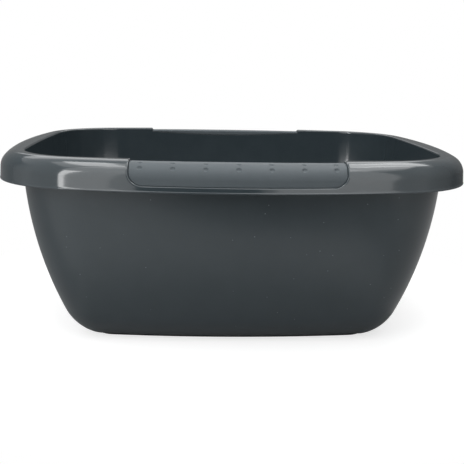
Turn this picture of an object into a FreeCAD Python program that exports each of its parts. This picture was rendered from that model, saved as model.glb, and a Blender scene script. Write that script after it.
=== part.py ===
import FreeCAD, Part
import math
import os

from FreeCAD import Vector

# Washing up bowl, millimetres. Z is up, X runs along the long sides and the front faces -Y.
# The origin is under the middle of the bowl, on the surface that it stands on.

# Overall sizes
overall_length = 390.0
overall_width = 340.0
overall_height = 156.8
wall = 2.2
floor_thickness = 2.6

# Rim: flat top, rounded shoulder and a nearly upright skirt with a bead along its edge
rim_width = 24.2
rim_depth = 22.4
shoulder_radius = 13.6
skirt_draft = 0.45
skirt_long_radius = 536.0
skirt_short_radius = 600.0
skirt_corner_radius = 82.0
bead_height = 1.8
bead_proud = 0.3
rim_edge_radius = 1.4

# Wall: one large arc from the rim down, then a tighter one that runs in under the bowl
wall_long_radius = 900.0
wall_short_radius = 1700.0
wall_top_draft = 0.2
wall_arc_radius = 310.0
base_arc_radius = 44.0
base_arc_dip = 3.5
base_corner_radius = 10.5

# Foot ring in its groove
foot_height = 2.4
foot_groove = 0.7
foot_inset = 3.8
foot_width = 6.0
foot_corner_radius = 16.0

# Soft grips in the long sides of the rim
grip_length = 159.0
grip_recess = 1.6
grip_thickness = 1.8
grip_sill = 4.8
grip_corner_radius = 10.0
grip_lip_thickness = 1.0
grip_lip_drop = 3.2
bond_gap = 0.08

# Dimples of a grip: one row on the face and one on the top edge
dimple_count = 7
dimple_pitch = 23.9
dimple_diameter = 4.0
dimple_depth = 0.9
face_dimple_angle = 45.0
top_dimple_angle = 75.0

# Mark left under the base where the plastic is injected
gate_diameter = 6.0
gate_height = 0.8

# Heights and seats that follow from these
rim_bottom = overall_height - rim_depth
floor_height = foot_height + floor_thickness
seat_depth = grip_recess + grip_thickness
skirt_half_length = overall_length / 2 - bead_proud
skirt_half_width = overall_width / 2 - bead_proud
opening_half_length = overall_length / 2 - rim_width
opening_half_width = overall_width / 2 - rim_width
spare = 5.0


# Plan outlines, each four bowed sides and four corners that run into each other

class Outline:
    """Closed plan outline of eight tangent arcs."""

    def __init__(self, half_length, half_width, long_radius, short_radius, corner_radius):
        long_centre = Vector(0, half_width - long_radius, 0)
        short_centre = Vector(half_length - short_radius, 0, 0)
        long_reach = long_radius - corner_radius
        short_reach = short_radius - corner_radius
        between = short_centre - long_centre
        along = (between.Length ** 2 + long_reach ** 2 - short_reach ** 2) / (2 * between.Length)
        across = math.sqrt(long_reach ** 2 - along ** 2)
        unit = between / between.Length
        corner = long_centre + unit * along + Vector(unit.y, -unit.x, 0) * across
        to_long = corner - long_centre
        to_short = corner - short_centre
        steep = math.degrees(math.atan2(to_long.y, to_long.x))
        shallow = math.degrees(math.atan2(to_short.y, to_short.x))
        self.long_radius = long_radius
        self.long_centre = long_centre
        self.arcs = [
            (short_centre, short_radius, -shallow, shallow),
            (corner, corner_radius, shallow, steep),
            (long_centre, long_radius, steep, 180 - steep),
            (Vector(-corner.x, corner.y, 0), corner_radius, 180 - steep, 180 - shallow),
            (short_centre * -1, short_radius, 180 - shallow, 180 + shallow),
            (corner * -1, corner_radius, 180 + shallow, 180 + steep),
            (long_centre * -1, long_radius, 180 + steep, 360 - steep),
            (Vector(corner.x, -corner.y, 0), corner_radius, 360 - steep, 360 - shallow),
        ]

    def wire(self, inset, height):
        """The outline moved in by an inset, at a height."""
        edges = []
        for centre, radius, start, end in self.arcs:
            middle = Vector(centre.x, centre.y, height)
            edges.append(Part.makeCircle(radius - inset, middle, Vector(0, 0, 1), start, end))
        return Part.Wire(edges)

    def sweep(self, profile, arc):
        """A profile of insets and heights swept along one of the eight arcs."""
        centre, radius, start, end = arc
        swept = profile.copy()
        swept.translate(Vector(radius, 0, 0))
        swept.rotate(Vector(), Vector(0, 0, 1), start)
        swept.translate(centre)
        return swept.revolve(centre, Vector(0, 0, 1), end - start)

    def vessel(self, profile):
        """Solid inside a profile swept all round, closed by a flat base and a flat top."""
        faces = []
        for arc in self.arcs:
            faces += self.sweep(profile, arc).Faces
        for end in (profile.OrderedVertexes[0].Point, profile.OrderedVertexes[-1].Point):
            faces.append(Part.Face(self.wire(-end.x, end.z)))
        return closed(faces)

    def ring(self, profile):
        """Solid of a closed profile swept all round."""
        faces = []
        for arc in self.arcs:
            faces += self.sweep(profile, arc).Faces
        return closed(faces)

    def front(self, profile):
        """Solid of a closed profile swept along the front side only."""
        return self.sweep(Part.Face(profile), self.arcs[6])


def closed(faces):
    """Solid from the faces that bound it."""
    shell = Part.Shell(faces)
    shell.sewShape()
    solid = Part.Solid(shell)
    solid.fix(0.01, 0.01, 0.01)
    return solid


def at(inset, height):
    """Point of a profile, where insets run towards the middle of the bowl."""
    return Vector(-inset, 0, height)


def line(start, end):
    """Straight edge between two points."""
    return Part.LineSegment(start, end).toShape()


def bend(start, middle, end):
    """Arc through three points."""
    return Part.Arc(start, middle, end).toShape()


def block(low_x, high_x, low_y, high_y, low_z, high_z):
    """Box between two corners."""
    return Part.makeBox(high_x - low_x, high_y - low_y, high_z - low_z, Vector(low_x, low_y, low_z))


def turned(shape):
    """The same shape at the rear of the bowl."""
    copy = shape.copy()
    copy.rotate(Vector(), Vector(0, 0, 1), 180)
    return copy


# Wall profile, with insets counted from the outer skin of the wall at the rim's top

top_slope = math.pi / 2 - math.radians(wall_top_draft)
wall_centre_inset = wall_arc_radius * math.sin(top_slope)
wall_centre_height = overall_height + wall_arc_radius * math.cos(top_slope)
base_centre_height = foot_height - base_arc_dip + base_arc_radius
radius_step = wall_arc_radius - base_arc_radius
joint_slope = math.acos((wall_centre_height - base_centre_height) / radius_step)
base_centre_inset = wall_centre_inset - radius_step * math.sin(joint_slope)


def on_wall_arc(slope, skin):
    """Point of the upper arc where it has a slope, at a depth below the outer skin."""
    reach = wall_arc_radius - skin
    return at(wall_centre_inset - reach * math.sin(slope), wall_centre_height - reach * math.cos(slope))


def on_base_arc(slope, skin):
    """Point of the lower arc where it has a slope, at a depth below the outer skin."""
    reach = base_arc_radius - skin
    return at(base_centre_inset - reach * math.sin(slope), base_centre_height - reach * math.cos(slope))


def wall_slope_at(height, skin):
    """Slope of the upper arc at a height."""
    return math.acos((wall_centre_height - height) / (wall_arc_radius - skin))


def base_slope_at(height, skin):
    """Slope of the lower arc at a height."""
    return math.acos((base_centre_height - height) / (base_arc_radius - skin))


def wall_edges(skin, low, high):
    """Both arcs of the wall between two heights, at a depth below the outer skin."""
    base_slope = base_slope_at(low, skin)
    rim_slope = wall_slope_at(high, skin)
    return [
        bend(
            on_base_arc(base_slope, skin),
            on_base_arc((base_slope + joint_slope) / 2, skin),
            on_base_arc(joint_slope, skin),
        ),
        bend(
            on_wall_arc(joint_slope, skin),
            on_wall_arc((joint_slope + rim_slope) / 2, skin),
            on_wall_arc(rim_slope, skin),
        ),
    ]


def flare(height, reach):
    """Small arc that rounds the inner edge over, from the wall out to a flat top."""
    start = on_wall_arc(wall_slope_at(height - reach, wall), wall)
    half = reach * math.sqrt(0.5)
    middle = Vector(start.x + reach - half, 0, start.z + half)
    return bend(start, middle, Vector(start.x + reach, 0, height))


base_inset = -on_base_arc(base_slope_at(foot_height, 0.0), 0.0).x
wall_outline = Outline(
    opening_half_length + wall,
    opening_half_width + wall,
    wall_long_radius,
    wall_short_radius,
    base_corner_radius + base_inset,
)
rim_outline = Outline(
    skirt_half_length,
    skirt_half_width,
    skirt_long_radius,
    skirt_short_radius,
    skirt_corner_radius,
)


def tub():
    """Outside of the floor and wall as a solid block."""
    return wall_outline.vessel(Part.Wire(wall_edges(0.0, foot_height, overall_height - wall / 2)))


def hollow():
    """Inside of the bowl, rounded out at the rim."""
    edges = wall_edges(wall, floor_height, overall_height - rim_edge_radius)
    edges.append(flare(overall_height, rim_edge_radius))
    top = edges[-1].Vertexes[-1].Point
    edges.append(line(top, top + Vector(0, 0, spare)))
    return wall_outline.vessel(Part.Wire(edges))


# Rim profile, with insets counted from the skirt

def skin_points(depth):
    """Corners of the rim's skin, or of one at a depth below it, from the skirt to the flat top."""
    reach = shoulder_radius - depth
    centre_inset = skirt_draft + shoulder_radius
    centre_height = overall_height - shoulder_radius
    half = reach * math.sqrt(0.5)
    return (
        at(centre_inset - reach, centre_height),
        at(centre_inset - half, centre_height + half),
        at(centre_inset, overall_height - depth),
    )


def rim_profile():
    """Section through the turned-down rim."""
    low, mid, high = skin_points(0.0)
    inner_low, inner_mid, inner_high = skin_points(wall)
    deep = rim_width + spare
    bead_top = at(0.0, rim_bottom + bead_height)
    edges = [
        bend(at(0.0, rim_bottom), at(-bead_proud, rim_bottom + bead_height / 2), bead_top),
        line(bead_top, low),
        bend(low, mid, high),
        line(high, at(deep, overall_height)),
        line(at(deep, overall_height), at(deep, overall_height - wall)),
        line(at(deep, overall_height - wall), inner_high),
        bend(inner_high, inner_mid, inner_low),
        line(inner_low, at(wall, rim_bottom)),
        line(at(wall, rim_bottom), at(0.0, rim_bottom)),
    ]
    return Part.Wire(edges)


def layer_profile(outer, inner):
    """Section of the layer between two depths below the rim's skin."""
    low, mid, high = skin_points(outer)
    inner_low, inner_mid, inner_high = skin_points(inner)
    deep = rim_width + spare
    edges = [
        line(at(outer, rim_bottom), low),
        bend(low, mid, high),
        line(high, at(deep, overall_height - outer)),
        line(at(deep, overall_height - outer), at(deep, overall_height - inner)),
        line(at(deep, overall_height - inner), inner_high),
        bend(inner_high, inner_mid, inner_low),
        line(inner_low, at(inner, rim_bottom)),
        line(at(inner, rim_bottom), at(outer, rim_bottom)),
    ]
    return Part.Wire(edges)


# Grips, made at the front and turned round for the rear

def window(margin):
    """Space behind the tub-shaped outline of a grip, grown by a margin."""
    half = grip_length / 2 + margin
    sill = rim_bottom + grip_sill - margin
    top = overall_height + spare
    radius = grip_corner_radius + margin
    cut = radius * (1 - math.sqrt(0.5))
    y = -overall_width / 2 - spare
    edges = [
        line(Vector(-half, y, top), Vector(-half, y, sill + radius)),
        bend(
            Vector(-half, y, sill + radius),
            Vector(-half + cut, y, sill + cut),
            Vector(-half + radius, y, sill),
        ),
        line(Vector(-half + radius, y, sill), Vector(half - radius, y, sill)),
        bend(
            Vector(half - radius, y, sill),
            Vector(half - cut, y, sill + cut),
            Vector(half, y, sill + radius),
        ),
        line(Vector(half, y, sill + radius), Vector(half, y, top)),
        line(Vector(half, y, top), Vector(-half, y, top)),
    ]
    return Part.Face(Part.Wire(edges)).extrude(Vector(0, rim_width + 2 * spare, 0))


def lip(depth, margin):
    """Crescent where a grip comes down over the inner face of the wall."""
    half = grip_length / 2 + margin
    ends = overall_height - seat_depth
    low = ends - grip_lip_drop - margin
    y = -opening_half_width - spare
    edges = [
        bend(Vector(-half, y, ends), Vector(0, y, low), Vector(half, y, ends)),
        line(Vector(half, y, ends), Vector(half, y, overall_height)),
        line(Vector(half, y, overall_height), Vector(-half, y, overall_height)),
        line(Vector(-half, y, overall_height), Vector(-half, y, ends)),
    ]
    crescent = Part.Face(Part.Wire(edges)).extrude(Vector(0, 3 * spare, 0))
    bottom = low - spare
    slope = wall_slope_at(bottom, 0.0)
    high = wall_slope_at(overall_height + spare, 0.0)
    outer = [on_wall_arc(angle, depth) for angle in (slope, (slope + high) / 2, high)]
    inner = [point + Vector(-spare, 0, 0) for point in outer]
    strip = [
        bend(*outer),
        line(outer[2], inner[2]),
        bend(inner[2], inner[1], inner[0]),
        line(inner[0], outer[0]),
    ]
    return wall_outline.front(Part.Wire(strip)).common(crescent)


def dimple(x, slope):
    """Shallow ball that presses one dimple into a grip, square to its skin."""
    ball = (dimple_diameter ** 2 / 4 + dimple_depth ** 2) / (2 * dimple_depth)
    reach = shoulder_radius - grip_recess + ball - dimple_depth
    angle = math.radians(slope)
    axis_y = -rim_outline.long_centre.y
    outward = rim_outline.long_radius - skirt_draft - shoulder_radius + reach * math.cos(angle)
    y = axis_y - math.sqrt(outward ** 2 - x ** 2)
    z = overall_height - shoulder_radius + reach * math.sin(angle)
    return Part.makeSphere(ball, Vector(x, y, z), Vector(1, 0, 0))


def front_grip(inside):
    """Soft inlay: face, top and the crescent that shows inside the bowl."""
    saddle = rim_outline.front(layer_profile(grip_recess, seat_depth - bond_gap))
    saddle = saddle.common(window(-bond_gap))
    tail = lip(wall - grip_lip_thickness + bond_gap, -bond_gap)
    under = block(-overall_length, overall_length, -overall_width, 0, 0, overall_height - seat_depth + bond_gap)
    piece = saddle.fuse(tail.common(under)).cut(inside)
    edge = wall_edges(wall, floor_height, overall_height - grip_recess - rim_edge_radius)[1]
    start = edge.Vertexes[-1].Point
    rounding = flare(overall_height - grip_recess, rim_edge_radius)
    end = rounding.Vertexes[-1].Point
    corner = Vector(start.x - spare, 0, end.z)
    waste = Part.Wire([
        rounding,
        line(end, corner),
        line(corner, Vector(corner.x, 0, start.z)),
        line(Vector(corner.x, 0, start.z), start),
    ])
    piece = piece.cut(wall_outline.front(waste))
    first = -(dimple_count - 1) / 2
    balls = []
    for index in range(dimple_count):
        x = (first + index) * dimple_pitch
        balls += [dimple(x, face_dimple_angle), dimple(x, top_dimple_angle)]
    return piece.cut(Part.makeCompound(balls)).removeSplitter()


# Base

def foot_solid(margin, low, high):
    """Upright ring under the base, grown by a margin."""
    outer = Outline(
        opening_half_length + wall - base_inset - foot_inset,
        opening_half_width + wall - base_inset - foot_inset,
        wall_long_radius,
        wall_short_radius,
        foot_corner_radius,
    )
    rise = Vector(0, 0, high - low)
    body = Part.Face(outer.wire(-margin, low)).extrude(rise)
    return body.cut(Part.Face(outer.wire(foot_width + margin, low)).extrude(rise))


# Moulding

def bowl_shell(inside):
    """The whole moulding: floor, wall, rim, grip seats and foot groove."""
    frame = rim_outline.front(layer_profile(0.0, seat_depth + wall)).common(window(wall)).cut(inside)
    seat = rim_outline.front(layer_profile(-spare, seat_depth)).common(window(0.0))
    pocket = lip(wall - grip_lip_thickness, 0.0)
    rim = rim_outline.ring(rim_profile()).cut(inside).multiFuse([frame, turned(frame)])
    shell = tub().cut(inside).fuse(rim)
    shell = shell.cut(Part.makeCompound([seat, turned(seat), pocket, turned(pocket)]))
    shell = shell.cut(foot_solid(bond_gap, foot_height - spare, foot_height + foot_groove))
    gate = Part.makeCylinder(
        gate_diameter / 2,
        gate_height + floor_thickness / 2,
        Vector(0, 0, foot_height - gate_height),
    )
    return shell.fuse(gate).removeSplitter()


inside = hollow()
grip = front_grip(inside)
shapes = {
    "bowl_shell": bowl_shell(inside),
    "front_grip": grip,
    "rear_grip": turned(grip),
    "foot_ring": foot_solid(0.0, 0.0, foot_height + foot_groove - bond_gap),
}

os.makedirs("parts", exist_ok=True)
for node, shape in shapes.items():
    print(node, "valid", shape.isValid(), "solids", len(shape.Solids), "cm3", round(shape.Volume / 1000, 2))
    shape.exportStep("parts/" + node + ".step")
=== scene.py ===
"""Washing up bowl: a moulded tub with two soft grips and a foot ring, on a pale studio floor.

Sizes are in millimetres, as on a mould drawing. Meshes are written in metres.
X runs along the long sides, the front faces -Y, Z is up and the bowl stands on Z = 0.
"""
from __future__ import annotations

import logging
import math
from dataclasses import dataclass, field, replace
from enum import Enum, IntEnum
from typing import Any, Callable, ClassVar, Iterable, Sequence

import bpy
from mathutils import Matrix, Vector

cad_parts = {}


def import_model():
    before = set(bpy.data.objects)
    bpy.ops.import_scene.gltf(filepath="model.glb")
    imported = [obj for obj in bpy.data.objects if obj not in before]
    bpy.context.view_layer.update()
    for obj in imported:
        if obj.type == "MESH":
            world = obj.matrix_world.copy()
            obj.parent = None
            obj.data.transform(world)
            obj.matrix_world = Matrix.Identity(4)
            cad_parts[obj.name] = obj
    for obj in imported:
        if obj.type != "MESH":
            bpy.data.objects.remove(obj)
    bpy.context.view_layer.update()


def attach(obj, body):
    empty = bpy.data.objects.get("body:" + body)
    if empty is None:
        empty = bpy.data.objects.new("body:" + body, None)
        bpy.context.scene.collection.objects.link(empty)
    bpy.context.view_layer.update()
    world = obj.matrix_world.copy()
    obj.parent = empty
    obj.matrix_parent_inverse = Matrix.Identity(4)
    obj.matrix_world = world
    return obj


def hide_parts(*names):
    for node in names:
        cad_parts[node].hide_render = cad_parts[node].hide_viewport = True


LOG = logging.getLogger("washing_up_bowl")
MM = 0.001
BODY = "root"

# Screen colour, place in a plan or on a section, and a ring of places with a depth each
Shade = tuple[int, int, int]
Flat = tuple[float, float]
Level = tuple[list[Flat], list[float]]

# Deeper than any seat, so that a point sunk this far lies on the seat's floor
FULL_DEPTH = 9.0


def lerp(start: float, end: float, share: float) -> float:
    """The number a share of the way from start to end."""
    return start + (end - start) * share


def spread(start: float, end: float, steps: int) -> list[float]:
    """Evenly spaced numbers from start to end, both included."""
    return [lerp(start, end, step / steps) for step in range(steps + 1)]


def share_of(value: float, low: float, high: float) -> float:
    """How far a value lies from low to high, no less than 0 and no more than 1."""
    return min(1.0, max(0.0, (value - low) / (high - low)))


def srgb(shade: Shade) -> tuple[float, float, float, float]:
    """Linear colour of an 8-bit screen colour.

    Args:
        shade: red, green and blue, from 0 to 255.

    Returns:
        Linear red, green and blue, and full alpha.
    """
    linear = []
    for value in shade:
        part = value / 255
        linear.append(part / 12.92 if part <= 0.04045 else ((part + 0.055) / 1.055) ** 2.4)
    return (linear[0], linear[1], linear[2], 1.0)


def disc(x: float, y: float, radius: float, level: float, sides: int) -> list[tuple[float, float, float]]:
    """Corners of a round sheet that lies at a level.

    Args:
        x: its middle from left to right.
        y: its middle from front to rear.
        radius: its radius.
        level: its height.
        sides: number of its corners.

    Returns:
        The corners, against the clock.
    """
    angles = spread(0.0, 2 * math.pi, sides)[:-1]
    return [(x + radius * math.cos(angle), y + radius * math.sin(angle), level) for angle in angles]


def new_object(name: str, data: bpy.types.ID) -> bpy.types.Object:
    """Puts an object with its data into the scene.

    Args:
        name: name of the object.
        data: its mesh, lamp or lens.

    Returns:
        The object, at the origin.
    """
    made = bpy.data.objects.new(name, data)
    bpy.context.scene.collection.objects.link(made)
    return made


# Node graphs


class Socket:
    """An output of a node that takes part in sums, written as plain arithmetic."""

    def __init__(self, graph: Graph, link: bpy.types.NodeSocket) -> None:
        """Keeps the graph and the node output that the value comes from."""
        self.graph = graph
        self.link = link

    def _math(self, operation: str, *values: Any) -> Socket:
        """Adds one Math node to the graph.

        Args:
            operation: Blender's name of the operation.
            values: sockets or numbers, in the node's order.

        Returns:
            The node's result.
        """
        return self.graph.value("ShaderNodeMath", {"operation": operation}, dict(enumerate(values)))

    def __add__(self, other: Any) -> Socket:
        """Sum with a socket or a number."""
        return self._math("ADD", self, other)

    def __radd__(self, other: Any) -> Socket:
        """Sum with a number on the left."""
        return self._math("ADD", other, self)

    def __sub__(self, other: Any) -> Socket:
        """Difference from a socket or a number."""
        return self._math("SUBTRACT", self, other)

    def __rsub__(self, other: Any) -> Socket:
        """Difference with a number on the left."""
        return self._math("SUBTRACT", other, self)

    def __mul__(self, other: Any) -> Socket:
        """Product with a socket or a number."""
        return self._math("MULTIPLY", self, other)

    def __rmul__(self, other: Any) -> Socket:
        """Product with a number on the left."""
        return self._math("MULTIPLY", other, self)

    def cos(self) -> Socket:
        """Cosine of an angle."""
        return self._math("COSINE", self)

    def sin(self) -> Socket:
        """Sine of an angle."""
        return self._math("SINE", self)

    def sqrt(self) -> Socket:
        """Square root."""
        return self._math("SQRT", self)

    def most(self, other: Any) -> Socket:
        """The larger of two values."""
        return self._math("MAXIMUM", self, other)

    def soft_most(self, other: Any, width: Any) -> Socket:
        """The larger of two values, with the change from one to the other rounded off."""
        return self._math("SMOOTH_MAX", self, other, width)

    def step(self, low: float, high: float) -> Socket:
        """Smooth step from 0 at low to 1 at high."""
        ends = {"Value": self, "From Min": low, "From Max": high}
        return self.graph.value("ShaderNodeMapRange", {"interpolation_type": "SMOOTHSTEP"}, ends)


class Graph:
    """A tree of shader or geometry nodes under construction."""

    def __init__(self, tree: bpy.types.NodeTree) -> None:
        """Takes over a tree and clears it."""
        self.tree = tree
        tree.nodes.clear()

    def node(
        self,
        kind: str,
        settings: dict[str, Any] | None = None,
        inputs: dict[str | int, Any] | None = None,
    ) -> bpy.types.Node:
        """Adds one node.

        Args:
            kind: Blender's type name.
            settings: its properties, which are set first.
            inputs: values, sockets or node outputs, by socket name or index.

        Returns:
            The new node.
        """
        made = self.tree.nodes.new(kind)
        for name, value in (settings or {}).items():
            setattr(made, name, value)
        for key, value in (inputs or {}).items():
            source = value.link if isinstance(value, Socket) else value
            if isinstance(source, bpy.types.NodeSocket):
                self.tree.links.new(source, made.inputs[key])
            else:
                made.inputs[key].default_value = source
        return made

    def value(
        self,
        kind: str,
        settings: dict[str, Any] | None = None,
        inputs: dict[str | int, Any] | None = None,
        output: str | int = 0,
    ) -> Socket:
        """Adds one node and wraps one of its outputs."""
        return Socket(self, self.node(kind, settings, inputs).outputs[output])

    def vector(self, operation: str, inputs: dict[str | int, Any]) -> bpy.types.NodeSocket:
        """Adds one Vector Math node and hands on its vector."""
        return self.node("ShaderNodeVectorMath", {"operation": operation}, inputs).outputs["Vector"]


class ShapeTree(Graph):
    """Geometry nodes that make the mesh of a piece from named sizes."""

    KINDS: ClassVar[dict[type, str]] = {int: "NodeSocketInt", float: "NodeSocketFloat"}

    def __init__(self, name: str, values: dict[str, Any]) -> None:
        """Makes a tree with its inputs.

        Args:
            name: name of the tree.
            values: counts, sizes and the material, by the names of their inputs.
        """
        tree = bpy.data.node_groups.new(name, "GeometryNodeTree")
        super().__init__(tree)
        for way in ("INPUT", "OUTPUT"):
            tree.interface.new_socket("Geometry", in_out=way, socket_type="NodeSocketGeometry")
        self.values: dict[str, Any] = {}
        for label, value in values.items():
            kind = self.KINDS.get(type(value), "NodeSocketMaterial")
            entry = tree.interface.new_socket(label, in_out="INPUT", socket_type=kind)
            self.values[entry.identifier] = value
        self.inputs = self.node("NodeGroupInput").outputs

    def size(self, name: str) -> Socket:
        """One of the inputs, as a value to reckon with."""
        return Socket(self, self.inputs[name])

    def moved(self, geometry: bpy.types.NodeSocket, place: bpy.types.NodeSocket) -> bpy.types.NodeSocket:
        """Geometry with each of its points moved to a place."""
        node = self.node("GeometryNodeSetPosition", None, {"Geometry": geometry, "Position": place})
        return node.outputs[0]

    def end(self, geometry: bpy.types.NodeSocket) -> None:
        """Ends the tree with its finished shape, dressed in the material.

        Args:
            geometry: the finished shape.
        """
        real = self.node("GeometryNodeRealizeInstances", None, {0: geometry})
        dress = {"Geometry": real.outputs[0], "Material": self.inputs["Material"]}
        dressed = self.node("GeometryNodeSetMaterial", None, dress)
        self.node("NodeGroupOutput", None, {0: dressed.outputs[0]})

    def shape(self, piece: bpy.types.Object) -> bpy.types.Mesh:
        """Runs the tree on a piece.

        Args:
            piece: object that the tree starts from.

        Returns:
            The result as a plain mesh.
        """
        modifier = piece.modifiers.new(self.tree.name, "NODES")
        modifier.node_group = self.tree
        for identifier, value in self.values.items():
            modifier[identifier] = value
        evaluated = piece.evaluated_get(bpy.context.evaluated_depsgraph_get())
        mesh = bpy.data.meshes.new_from_object(evaluated)
        piece.modifiers.remove(modifier)
        return mesh


# Plan outlines and sections


@dataclass(frozen=True)
class Arc:
    """One arc of a plan outline, with its angles in radians."""

    x: float
    y: float
    radius: float
    start: float
    end: float

    def point(self, share: float, inset: float) -> Flat:
        """Point a share of the way along the arc, moved in by an inset.

        Args:
            share: share of the way from the arc's start to its end.
            inset: how far the point lies in from the arc.

        Returns:
            Its x and y.
        """
        angle = lerp(self.start, self.end, share)
        reach = self.radius - inset
        return (self.x + reach * math.cos(angle), self.y + reach * math.sin(angle))


class Side(Enum):
    """Long sides, by the numbers of their arcs in a plan outline."""

    FRONT = 0
    REAR = 4


@dataclass(frozen=True)
class PlanOutline:
    """Closed plan outline of four bowed sides and four corners that run into each other."""

    ARC_COUNT: ClassVar[int] = 8

    half_length: float
    half_width: float
    long_radius: float
    short_radius: float
    corner_radius: float

    @property
    def front_axis(self) -> float:
        """Y of the centre that the front side is bowed round."""
        return self.long_radius - self.half_width

    def arcs(self) -> list[Arc]:
        """The eight arcs against the clock, beginning with the front side.

        Returns:
            Sides and corners in turn.
        """
        long_centre = Vector((0.0, self.half_width - self.long_radius))
        short_centre = Vector((self.half_length - self.short_radius, 0.0))
        long_reach = self.long_radius - self.corner_radius
        short_reach = self.short_radius - self.corner_radius
        between = short_centre - long_centre
        apart = between.length
        along = (apart ** 2 + long_reach ** 2 - short_reach ** 2) / (2 * apart)
        across = math.sqrt(long_reach ** 2 - along ** 2)
        unit = between / apart
        corner = long_centre + unit * along + Vector((unit.y, -unit.x)) * across
        steep = math.atan2(corner.y - long_centre.y, corner.x - long_centre.x)
        shallow = math.atan2(corner.y - short_centre.y, corner.x - short_centre.x)
        half_turn = math.pi
        small, large, end = self.corner_radius, self.long_radius, self.short_radius
        return [
            Arc(0.0, -long_centre.y, large, -half_turn + steep, -steep),
            Arc(corner.x, -corner.y, small, -steep, -shallow),
            Arc(short_centre.x, 0.0, end, -shallow, shallow),
            Arc(corner.x, corner.y, small, shallow, steep),
            Arc(0.0, long_centre.y, large, steep, half_turn - steep),
            Arc(-corner.x, corner.y, small, half_turn - steep, half_turn - shallow),
            Arc(-short_centre.x, 0.0, end, half_turn - shallow, half_turn + shallow),
            Arc(-corner.x, -corner.y, small, half_turn + shallow, half_turn + steep),
        ]

    def front_y(self, x: float, inset: float) -> float:
        """Y of the front side at an x, moved in by an inset."""
        return self.front_axis - math.sqrt((self.long_radius - inset) ** 2 - x ** 2)


@dataclass(frozen=True)
class Stations:
    """Places round the plan at which every ring of the moulding has a point."""

    window_share: float = 0.37
    window_steps: int = 64
    rest_steps: int = 7
    corner_steps: int = 30
    end_steps: int = 40

    def side_shares(self) -> list[float]:
        """Shares along a long side, close together where the grip's window is.

        Returns:
            The shares from 0 up to, but without, 1.
        """
        low, high = 0.5 - self.window_share, 0.5 + self.window_share
        shares = spread(0.0, low, self.rest_steps)[:-1]
        shares += spread(low, high, self.window_steps)[:-1]
        return shares + spread(high, 1.0, self.rest_steps)[:-1]

    def places(self) -> list[tuple[int, float]]:
        """Arc number and share of each station, once round the bowl.

        Returns:
            The stations against the clock, from the front side's left end.
        """
        made: list[tuple[int, float]] = []
        for arc in range(PlanOutline.ARC_COUNT):
            if arc in (Side.FRONT.value, Side.REAR.value):
                shares = self.side_shares()
            else:
                steps = self.corner_steps if arc % 2 else self.end_steps
                shares = spread(0.0, 1.0, steps)[:-1]
            made += [(arc, share) for share in shares]
        return made

    def window_columns(self, side: Side) -> list[int]:
        """Stations from one edge of a window's sheet to the other, in order round the bowl.

        Args:
            side: long side that the window is on.

        Returns:
            Numbers of the stations.
        """
        half_round = len(self.places()) // 2
        first = self.rest_steps + (half_round if side is Side.REAR else 0)
        return list(range(first, first + self.window_steps + 1))


@dataclass(frozen=True)
class WallSection:
    """Section of the wall: one large arc from the rim down, then a tighter one under the bowl."""

    height: float = 156.8
    base_height: float = 2.4
    top_draft: float = 0.2
    arc_radius: float = 310.0
    base_radius: float = 44.0
    base_dip: float = 3.5

    @property
    def centre(self) -> Flat:
        """Inset and height of the large arc's centre."""
        slope = math.pi / 2 - math.radians(self.top_draft)
        return (self.arc_radius * math.sin(slope), self.height + self.arc_radius * math.cos(slope))

    @property
    def base_centre_height(self) -> float:
        """Height of the tight arc's centre."""
        return self.base_height - self.base_dip + self.base_radius

    @property
    def joint(self) -> float:
        """Slope at which one arc runs into the other."""
        return math.acos((self.centre[1] - self.base_centre_height) / (self.arc_radius - self.base_radius))

    @property
    def base_centre_inset(self) -> float:
        """Inset of the tight arc's centre."""
        return self.centre[0] - (self.arc_radius - self.base_radius) * math.sin(self.joint)

    @property
    def base_inset(self) -> float:
        """Inset at which the outer skin meets the base."""
        return self.lower(self.lower_slope(self.base_height, 0.0), 0.0)[0]

    def upper(self, slope: float, depth: float) -> Flat:
        """Inset and height on the large arc, at a depth below the outer skin.

        Args:
            slope: slope of the arc there.
            depth: depth below the outer skin.

        Returns:
            The inset and the height.
        """
        reach = self.arc_radius - depth
        return (self.centre[0] - reach * math.sin(slope), self.centre[1] - reach * math.cos(slope))

    def lower(self, slope: float, depth: float) -> Flat:
        """Inset and height on the tight arc, at a depth below the outer skin.

        Args:
            slope: slope of the arc there.
            depth: depth below the outer skin.

        Returns:
            The inset and the height.
        """
        reach = self.base_radius - depth
        return (
            self.base_centre_inset - reach * math.sin(slope),
            self.base_centre_height - reach * math.cos(slope),
        )

    def upper_slope(self, height: float, depth: float) -> float:
        """Slope of the large arc at a height."""
        return math.acos((self.centre[1] - height) / (self.arc_radius - depth))

    def lower_slope(self, height: float, depth: float) -> float:
        """Slope of the tight arc at a height."""
        return math.acos((self.base_centre_height - height) / (self.base_radius - depth))

    def inset_at(self, height: float, depth: float) -> float:
        """Inset of the large arc at a height."""
        return self.upper(self.upper_slope(height, depth), depth)[0]

    def climb(self, depth: float, low: float, high: float, base_steps: int, steps: int) -> list[Flat]:
        """Points up both arcs.

        Args:
            depth: depth below the outer skin.
            low: height of the first point.
            high: height of the last point.
            base_steps: steps on the tight arc.
            steps: steps on the large arc.

        Returns:
            Insets and heights, from low to high.
        """
        base_slopes = spread(self.lower_slope(low, depth), self.joint, base_steps)
        slopes = spread(self.joint, self.upper_slope(high, depth), steps)
        base = [self.lower(slope, depth) for slope in base_slopes]
        return base + [self.upper(slope, depth) for slope in slopes[1:]]


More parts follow.
